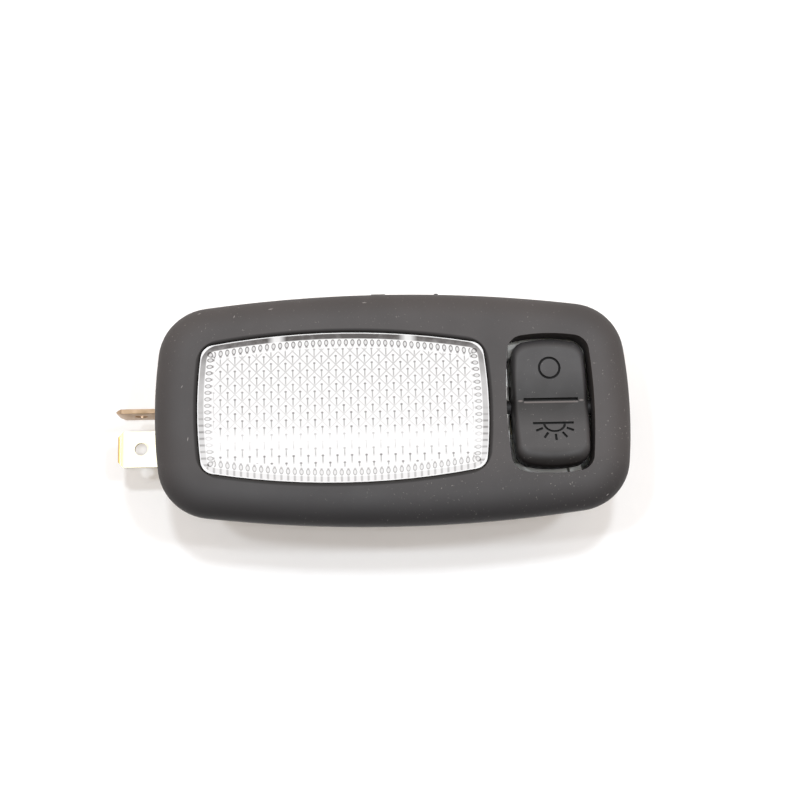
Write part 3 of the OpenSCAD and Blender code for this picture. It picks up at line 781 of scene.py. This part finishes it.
def stroke(x, y, shift):
    """The painted upright stroke of shade, with a small head, at every second meeting point of the
    pyramids.
    """
    across, up = cell(x, PYRAMID_PITCH, shift), cell(y, PYRAMID_PITCH, shift)
    stem = within(across, 0.18, 0.14) * within(up + 0.3, 0.85, 0.45)
    head = within(across, 0.3, 0.2) * within(up - 0.3, 0.2, 0.15)
    return (0.75 * stem + head).clamp()


def bead_row(from_side, from_end, along, y):
    """Painted shade of the row of bead loops that follows the window, with one bead set across each corner,
    stronger towards the top.
    """
    in_corner = soft(CORNER_REACH - from_side, 0.1) * soft(CORNER_REACH - from_end, 0.1)
    straight = bead_loop(cell(along, BEAD_PITCH), from_side.least(from_end) - BEAD_INSET)
    corner = bead_loop((from_side - from_end) * 0.7, (from_side + from_end) * 0.7 - CORNER_BEAD_INSET)
    loops = straight * (1 - in_corner) + corner * in_corner
    return 0.85 * loops * (0.7 + 0.3 * soft(y, 8))


def bead_loop(along, across):
    """Painted shade as an upright bead looks through the lens: a dark outline, a grey middle and a dark
    inner tip.
    """
    reach = ((along / 0.36) ** 2 + ((across + 0.08) / 0.55) ** 2) ** 0.5
    outline = within(reach - 0.82, 0.27, 0.22) + 0.3 * soft(0.8 - reach, 0.2)
    tip = blot(along, across - 0.52, 0.3, 0.2, 0.9)
    return (outline + 0.6 * tip).clamp()


def lens_rim(x, y, along, from_edge):
    """Painted shade on the plain rim: dark above, bright below, with two bright snap tabs and stripes under
    the beads.
    """
    rim = soft(RIM_INSET - from_edge, 0.15) * soft(from_edge - RIM_EDGE, 0.1)
    tabs = within(abs(x) - SNAP_TAB_X, 1.6, 1.2) * soft(y, 1)
    stripes = within(cell(along, BEAD_PITCH), 0.25, 0.15) * soft(0 - y, 3)
    shade = 0.45 + 0.55 * soft(y - 4, 8) - 0.35 * soft(0 - y, 12)
    return rim * (shade * (1 - 0.85 * tabs) + 0.35 * stripes)


def thin_glass():
    shader = Shader("clear_glass")
    film = shader.noise(0.2, 3)
    shader.set(
        Base_Color=colour(0.97, 0.98, 0.98), Roughness=(0.01 + 0.06 * film).clamp(),
        Transmission_Weight=1.0, IOR=1.5,
    )
    return shader.material


MATERIALS = {
    "bezel_plastic": bezel_plastic(),
    "rocker_plastic": rocker_plastic(),
    "housing_plastic": moulded_plastic(
        "housing_plastic", colour(0.86, 0.85, 0.81), colour(0.7, 0.67, 0.6), 0.45, 0.01, 0.2
    ),
    "nylon": moulded_plastic("nylon", colour(0.82, 0.8, 0.74), colour(0.7, 0.66, 0.56), 0.4, 0.005, 0.2),
    "brass": rolled_brass(),
    "clear_plastic": patterned_lens(),
    "clear_glass": thin_glass(),
}

PLAIN_METALS = {
    "contact_silver": (colour(0.76, 0.75, 0.72), 0.35),
    "bright_aluminium": (colour(0.9, 0.91, 0.92), 0.22, (0.1, 1, 1)),
    "spring_steel": (colour(0.3, 0.31, 0.33), 0.35),
    "spring_wire": (colour(0.62, 0.63, 0.65), 0.3),
    "cap_metal": (colour(0.72, 0.73, 0.74), 0.28),
    "solder": (colour(0.66, 0.67, 0.68), 0.45),
    "tungsten": (colour(0.33, 0.33, 0.34), 0.4),
}

for slot, finish in PLAIN_METALS.items():
    MATERIALS[slot] = plain_metal(slot, *finish)


# Bezel

ROLL_STEPS, HOLLOW_STEPS, DISH_STEPS = 14, 8, 8
HOLLOW_EDGE_Z = 1.0
HOLLOW_ROLL_W = 4.2
SLEEVE_T, SLEEVE_TOP = 0.8, CEILING_Z + 0.4
WINDOW_SLEEVE_Z, OPENING_SLEEVE_Z = 0.5, -0.1
BELOW, ABOVE = -3.0, 8.0
SHORT_SLEEVE_CUT = (17, -13, -2), (20.6, 13, 1.6)
AXLE_WAY_CUT = (32, -1.7, -2), (35, 1.7, 0.8)

HOOK_X, HOOK_W, HOOK_T, HOOK_INSET = 20.0, 5.0, 1.2, 2.85
BARB_TOP, BARB_END, BARB_OUT = -4.2, -6.6, 0.9

# Place along the upper edge, width and how far it stands out, of each gate mark
GATE_STUBS = [(-2.25, 2.4, 0.22), (7.7, 0.6, 0.3)]


def make_bezel():
    shell = draw_face("front_bezel_smooth", bezel_outline)
    extrude(EDGE_Z)
    rings(quarter_round(ROLL_W, BEZEL_H - EDGE_Z, ROLL_STEPS))
    close(shell)
    cut(shell, hollow_cut())
    fuse(
        shell, prism("window_sleeve", window_outline, -SLEEVE_T, WINDOW_SLEEVE_Z, SLEEVE_TOP),
        prism("opening_sleeve", opening_outline, -SLEEVE_T, OPENING_SLEEVE_Z, SLEEVE_TOP)
    )
    cut(
        shell, prism("window_cut", window_outline, 0, BELOW, ABOVE), opening_cut(),
        box("short_sleeve", *SHORT_SLEEVE_CUT), box("axle_way", *AXLE_WAY_CUT)
    )
    soften_window(shell)
    hooks = [bezel_hook(x, side) for x in (-HOOK_X, HOOK_X) for side in (1, -1)]
    fuse(shell, *hooks, *(gate_stub(*stub) for stub in GATE_STUBS))
    to_metres(shell)
    finish_piece(shell, "housing", "bezel_plastic", "front_bezel")


def hollow_cut():
    """The inside of the cover, with a rolled edge of its own."""
    piece = draw_face("hollow", bezel_outline, BEZEL_T, -1)
    extrude(HOLLOW_EDGE_Z + 1)
    rings(quarter_round(HOLLOW_ROLL_W, CEILING_Z - HOLLOW_EDGE_Z, HOLLOW_STEPS))
    return close(piece)


def opening_cut():
    """The rocker's opening, dished at the face of the bezel."""
    piece = draw_face("opening_cut", opening_outline, 0, BELOW)
    extrude(BEZEL_H - DISH_D - BELOW)
    rings(quarter_round(-DISH_W, DISH_D, DISH_STEPS))
    extrude(2)
    return close(piece)


def soften_window(shell):
    """Rounds the rim of the lens window."""
    edit(shell)

    def on_rim(point):
        return abs(point.z - BEZEL_H) < 0.01 and inside_outline(window_outline, point, 0.02)

    select_edges(shell, lambda a, b: on_rim(a) and on_rim(b))
    bpy.ops.mesh.bevel(offset=WINDOW_RIM_R, segments=4, affect="EDGES", clamp_overlap=False)
    leave()


def inside_outline(outline, point, spare):
    """True within the bowed sides and ends, let out by spare."""
    x, y = abs(point.x - outline.centre.x), abs(point.y - outline.centre.y)
    to_side = Vector((x, y - outline.side_centre.y, 0)).length
    to_end = Vector((x - outline.end_centre.x, y, 0)).length
    return to_side < outline.side_r + spare and to_end < outline.end_r + spare


def bezel_edge(x):
    """How far the bezel's bowed side reaches in Y, near enough at the small x of the hooks and gates."""
    return BEZEL_W / 2 - x * x / (2 * bezel_outline.side_r)


def bezel_hook(x, side):
    """A snap hook that hangs from the ceiling of the bezel, with a barb that slopes away below."""
    outer = bezel_edge(x) - HOOK_INSET
    inner = outer - HOOK_T
    low, high = x - HOOK_W / 2, x + HOOK_W / 2
    piece = box("hook", (low, inner, BARB_END), (high, outer, CEILING_Z + 0.5))
    barb = box("barb", (low, inner - BARB_OUT, BARB_END), (high, inner + 0.05, BARB_TOP))
    edit(barb)
    select_edges(barb, lambda a, b: max(a.z, b.z) < BARB_END + 0.4 and max(a.y, b.y) < inner - BARB_OUT / 2)
    bpy.ops.transform.translate(value=(0, BARB_OUT, 0))
    leave()
    fuse(piece, barb)
    if side < 0:
        flip_y(piece)
    return piece


def flip_y(piece):
    activate(piece)
    piece.scale = (1, -1, 1)
    bpy.ops.object.transform_apply(location=True, rotation=True, scale=True)
    edit(piece, "SELECT")
    close(piece)


def gate_stub(x, width, proud):
    """What is left of a moulding gate on the upper edge."""
    y = bezel_edge(x)
    return box("gate", (x - width / 2, y - 0.6, 0.2), (x + width / 2, y + proud, EDGE_Z - 0.2))


# Rocker

HALF_W, HALF_L = ROCKER_W / 2, ROCKER_L / 2
END_BOW, SIDE_BOW, CORNER = 0.5, 1.0, 2.6
RIM_WIDTH_SIDE, RIM_WIDTH_NOSE = 0.9, 2.0
SIDE_FALL, NOSE_FALL = 1.35, 0.85
RIM_DROP = 1.8
RIM_STEPS = 10

# Drawn in at the sides and at the ends, height and fold of each loop of the skirt
SKIRT_RINGS = [
    (0.15, 2, AXLE.z - 0.8, 0), (0, 0.1, AXLE.z + 0.9, 0), (0, 0, VALLEY.z - RIM_DROP - 0.8, VALLEY_ANGLE),
]

HOLLOW = (ROCKER_X - 5.1, -7.6, -4), (ROCKER_X + 5.1, 8.2, 1.8)
INSIDE_TOP = 2.0
CHEEK_X, CHEEK_T, CHEEK_HALF_W, CHEEK_Z = 5.15, 1.5, 2.4, -3
RIB = (ROCKER_X - 5, -0.6, -0.4), (ROCKER_X + 5, 0.6, INSIDE_TOP)
TUBE_R, TUBE_Z = 2.6, -7.4
BORE_R, BORE_TOP = 1.55, -1.2
AXLE_R = 1.3
AXLE_STUBS = [(18.65, 21.25), (31.25, 35.3)]
BAR_LOW_Y, BAR_HIGH_Y, BAR_D, BAR_SLOPE = -0.05, 0.6, 0.6, 0.2


def make_rocker():
    button = button_form()
    cut(button, bar_groove(), *symbols(), box("hollow", *HOLLOW))
    fuse(
        button, cheek(-1), cheek(1), box("rib", *RIB),
        rod("tube", TUBE_R, (ROCKER_X, 0, TUBE_Z), (ROCKER_X, 0, INSIDE_TOP)),
        *(rod("axle", AXLE_R, (low, 0, AXLE.z), (high, 0, AXLE.z)) for low, high in AXLE_STUBS)
    )
    cut(button, rod("bore", BORE_R, (ROCKER_X, 0, -9), (ROCKER_X, 0, BORE_TOP)))
    tip_to_rest(button)
    to_metres(button)
    finish_piece(button, "rocker", "rocker_plastic", "rocker")


def cheek(side):
    """A wall inside the button that carries a stub of the axle."""
    middle = ROCKER_X + side * CHEEK_X
    low, high = middle - CHEEK_T / 2, middle + CHEEK_T / 2
    return box("cheek", (low, -CHEEK_HALF_W, CHEEK_Z), (high, CHEEK_HALF_W, INSIDE_TOP))


def bar_groove():
    """Cutter for the bar along the valley, with its near lip sloped off."""
    piece = box(
        "bar_groove", (ROCKER_X - BAR_HALF_L, BAR_LOW_Y, VALLEY.z - BAR_D),
        (ROCKER_X + BAR_HALF_L, BAR_HIGH_Y, VALLEY.z + 2.8)
    )
    edit(piece)
    select_edges(piece, lambda a, b: max(a.y, b.y) < 0 and max(a.z, b.z) < VALLEY.z)
    bpy.ops.transform.translate(value=(0, BAR_SLOPE, 0))
    leave()
    return piece


def tip_to_rest(piece):
    """Tips the button about its axle into the off position."""
    edit(piece, "SELECT")
    turn_about_x(ROCKER_TILT, AXLE)
    leave()


def button_form():
    """The button: loops from the skirt up over a rolled rim, each folded along the valley."""
    loops = [button_ring(*ring) for ring in SKIRT_RINGS]
    for step in range(RIM_STEPS + 1):
        turn = math.pi / 2 * step / RIM_STEPS
        inward = 1 - math.cos(turn)
        loops.append(button_ring(
            RIM_WIDTH_SIDE * inward ** SIDE_FALL, RIM_WIDTH_NOSE * inward ** NOSE_FALL,
            VALLEY.z - RIM_DROP * (1 - math.sin(turn)), VALLEY_ANGLE
        ))
    button = join("rocker_smooth", loops)
    bpy.ops.object.mode_set(mode="EDIT")
    bpy.ops.mesh.select_mode(type="EDGE")
    bpy.ops.mesh.select_all(action="SELECT")
    bpy.ops.mesh.bridge_edge_loops(type="SINGLE")
    bpy.ops.mesh.select_all(action="DESELECT")
    bpy.ops.mesh.select_non_manifold()
    bpy.ops.mesh.edge_face_add()
    select_faces(button, lambda centre, normal: normal.z > 0.99 and abs(centre.y - VALLEY.y) < 2)
    bpy.ops.mesh.bisect(plane_co=VALLEY, plane_no=(0, 1, 0))
    return close(button)


def button_ring(side, nose, height, fold):
    """A loop of the button, drawn in by side and nose, its two halves turned up by fold degrees."""
    outline = Outline(
        HALF_W - side, HALF_L - nose, END_BOW, SIDE_BOW, CORNER - 0.6 * side, (VALLEY.x, VALLEY.y)
    )
    ring = draw_face("ring", outline, 0, height)
    bpy.ops.mesh.delete(type="ONLY_FACE")
    leave()
    crease = Vector((VALLEY.x, VALLEY.y, height))
    for half in (1, -1):
        select_points(ring, lambda point: half * (point.y - VALLEY.y) > WELD)
        stretch = (HALF_L - half * VALLEY.y) / HALF_L / math.cos(math.radians(fold))
        bpy.ops.transform.resize(value=(1, stretch, 1), center_override=crease)
        turn_about_x(-half * fold, crease)
        leave()
    return ring


def turn_about_x(degrees, centre):
    """Turns what is selected in edit mode."""
    bpy.ops.transform.rotate(
        value=math.radians(degrees), orient_axis="X", orient_type="GLOBAL", center_override=centre
    )


# The rocker's signs, measured on the flat from the middle of the valley

LINE_W, LINE_D = 0.4, 0.4
OFF_RING_CENTRE, OFF_RING_R = (0, 5.45), 1.73
CEILING_LINE = (-3.35, -4.25), (3.5, -4.25)
BOWL_CENTRE, BOWL_R, BOWL_SQUASH = (0.25, -4.35), 1.72, 0.8
RAY_TURNS = (-155, -122, -88, -56, -25)
RAY_START, RAY_END, RAY_SQUASH = 2.2, 3.5, 0.85


def symbols():
    """The plain ring of the off side and the dome-lamp sign of the on side, as cutters."""
    off_ring = turned_line("ring", OFF_RING_CENTRE, OFF_RING_R, 0, 2 * math.pi, 48)
    bowl = turned_line("bowl", BOWL_CENTRE, BOWL_R, math.pi, math.pi, 24, BOWL_SQUASH)
    dome_lamp = [straight_line(*CEILING_LINE), bowl, *(straight_line(*ray(turn)) for turn in RAY_TURNS)]
    return [lay_on_face(off_ring, 1), *(lay_on_face(piece, -1) for piece in dome_lamp)]


def straight_line(low, high):
    """A groove cutter between two points of the flat sign."""
    low, high = Vector((*low, 0)), Vector((*high, 0))
    way = high - low
    bpy.ops.mesh.primitive_cube_add(
        size=1, location=(low + high) / 2, rotation=(0, 0, math.atan2(way.y, way.x))
    )
    piece = bpy.context.active_object
    piece.name = "line"
    piece.scale = (way.length, LINE_W, 2 * LINE_D)
    bpy.ops.object.transform_apply(location=True, rotation=True, scale=True)
    return piece


def turned_line(name, centre, radius, start, turn, steps, squash=1.0):
    """A groove cutter drawn by turning a small square about a point of the flat sign."""
    bpy.ops.mesh.primitive_plane_add(size=1, location=(radius, 0, 0), rotation=(math.pi / 2, 0, 0))
    piece = bpy.context.active_object
    piece.name = name
    piece.scale = (LINE_W, 2 * LINE_D, 1)
    bpy.ops.object.transform_apply(location=True, rotation=True, scale=True)
    edit(piece, "SELECT")
    bpy.ops.transform.rotate(
        value=-start, orient_axis="Z", orient_type="GLOBAL", center_override=(0, 0, 0)
    )
    bpy.ops.mesh.spin(steps=steps, angle=-turn, axis=(0, 0, 1), center=(0, 0, 0))
    bpy.ops.mesh.select_all(action="SELECT")
    bpy.ops.mesh.remove_doubles(threshold=WELD)
    if turn == 2 * math.pi:
        bpy.ops.mesh.select_all(action="DESELECT")
        bpy.ops.mesh.select_interior_faces()
        bpy.ops.mesh.delete(type="ONLY_FACE")
    close(piece)
    piece.scale = (1, squash, 1)
    piece.location = Vector((*centre, 0))
    activate(piece)
    bpy.ops.object.transform_apply(location=True, rotation=True, scale=True)
    return piece


def ray(turn):
    """Inner and outer end of a short ray under the bowl."""
    x, y = math.cos(math.radians(turn)), RAY_SQUASH * math.sin(math.radians(turn))
    return [(BOWL_CENTRE[0] + reach * x, BOWL_CENTRE[1] + reach * y) for reach in (RAY_START, RAY_END)]


def lay_on_face(piece, side):
    """Tips a flat cutter onto the sloping face of the given side and moves it to the button."""
    edit(piece, "SELECT")
    turn_about_x(-side * VALLEY_ANGLE, (0, 0, 0))
    bpy.ops.transform.translate(value=VALLEY)
    leave()
    return piece


# Pieces whose CAD form is right: a merged copy with softened edges

# Node, body, slot and width of the softened edges
COPIES = [
    ("lens", "housing", "clear_plastic", 0.0),
    ("rear_housing", "housing", "housing_plastic", 0.12),
    ("reflector", "housing", "bright_aluminium", 0.0),
    ("retaining_spring", "leaf", "spring_steel", 0.05),
    ("supply_contact", "housing", "brass", 0.08),
    ("return_contact", "housing", "brass", 0.08),
    ("bulb_switch_contact", "housing", "brass", 0.08),
    ("strip_rivets", "housing", "brass", 0.0),
    ("contact_rocker", "see_saw", "brass", 0.05),
    ("moving_contact_stud", "see_saw", "contact_silver", 0.0),
    ("fixed_contact_stud", "housing", "contact_silver", 0.0),
    ("rocker_plunger", "plunger", "nylon", 0.0),
    ("plunger_spring", "rocker", "spring_wire", 0.0),
    ("bulb_glass", "housing", "clear_glass", 0.0),
    ("bulb_cap_left", "housing", "cap_metal", 0.0),
    ("bulb_cap_right", "housing", "cap_metal", 0.0),
    ("bulb_filament", "housing", "tungsten", 0.0),
    ("bulb_lead_wires", "housing", "cap_metal", 0.0),
    ("bulb_solder_tips", "housing", "solder", 0.0),
]


def refine(node, body, slot, bevel):
    piece = copy_of(frame["nodes"][node])
    piece.name = node + "_smooth"
    piece.parent = None
    del piece["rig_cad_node"]
    edit(piece, "SELECT")
    bpy.ops.mesh.remove_doubles(threshold=0.002 * MM)
    bpy.ops.mesh.dissolve_limited(angle_limit=math.radians(1.5))
    leave()
    if bevel:
        modify(
            piece, "BEVEL", width=bevel * MM, segments=2, limit_method="ANGLE",
            angle_limit=math.radians(40), harden_normals=False
        )
    finish_piece(piece, body, slot, node)


def squeeze_spring():
    """Gives the plunger's spring a mesh of its own."""
    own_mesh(bpy.data.objects["plunger_spring_smooth"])


# Stage

ROOM_DARK, ROOM_BRIGHT = colour(0.12, 0.1, 0.085), colour(1.28, 1.13, 1.01)
ROOM_STRENGTH = 0.94
COOL, NEARLY_WHITE = (0.94, 1.02, 1.1), (0.96, 1, 1.04)

# Name, place, size, power in watts and tint
LAMPS = [
    ("overhead", (-20, 525, 1500), 130, 6.2, COOL),
    ("overhead_left", (-680, 200, 1450), 130, 4.35, COOL),
    ("overhead_right", (640, 200, 1450), 130, 4.35, COOL),
    ("front", (-15, -60, 400), 60, 0.32, NEARLY_WHITE),
]

CAMERA_PLACE = Vector((-9.805, -38.048, 205.239))
CAMERA_TURN = (10.62, -2.468, -1.517)
SENSOR_W, FOCAL_LENGTH = 36, 55.53
SHIFT_X, SHIFT_Y = 0.0071, 0.0107


def make_stage():
    """A plain pale board under the lamp."""
    bpy.ops.mesh.primitive_plane_add(size=6, location=(0, 0, cad_box[0][2]))
    floor = bpy.context.active_object
    floor.name = "floor"
    shader = Shader("pale_board")
    boards = shader.noise(0.02, 3, (0.15, 3, 1))
    shade = shader.mix(boards, colour(0.88, 0.875, 0.87), colour(0.93, 0.925, 0.92))
    shader.set(Base_Color=shade, Roughness=0.8)
    floor.data.materials.append(shader.material)


def make_camera():
    bpy.ops.object.camera_add(
        location=CAMERA_PLACE * MM, rotation=[math.radians(angle) for angle in CAMERA_TURN]
    )
    camera = bpy.context.active_object
    camera.data.sensor_width = SENSOR_W
    camera.data.lens = FOCAL_LENGTH
    camera.data.shift_x, camera.data.shift_y = SHIFT_X, SHIFT_Y
    camera.data.clip_start = 0.01
    bpy.context.scene.camera = camera


def area_light(name, place, size, power, tint):
    """A square lamp that faces the middle of the object."""
    place = Vector(place)
    bpy.ops.object.light_add(type="AREA", location=place * MM)
    lamp = bpy.context.active_object
    lamp.name = name
    lamp.data.size = size * MM
    lamp.data.energy = power
    lamp.data.color = tint
    lamp.rotation_euler = (-place).to_track_quat("-Z", "Y").to_euler()


def make_light():
    """A soft room that is brighter behind the object than in front, and the lamps."""
    world = bpy.data.worlds.new("studio")
    bpy.context.scene.world = world
    room = Shader("studio", world)
    backward = room.node("ShaderNodeSeparateXYZ", {}, room.place, output="Y")
    room.set(Color=room.mix(0.5 + 0.5 * backward, ROOM_DARK, ROOM_BRIGHT), Strength=ROOM_STRENGTH)
    for lamp in LAMPS:
        area_light(*lamp)
    bpy.context.scene.view_settings.view_transform = "Standard"


make_camera()
make_light()
make_stage()
make_bezel()
make_rocker()
for entry in COPIES:
    refine(*entry)
squeeze_spring()
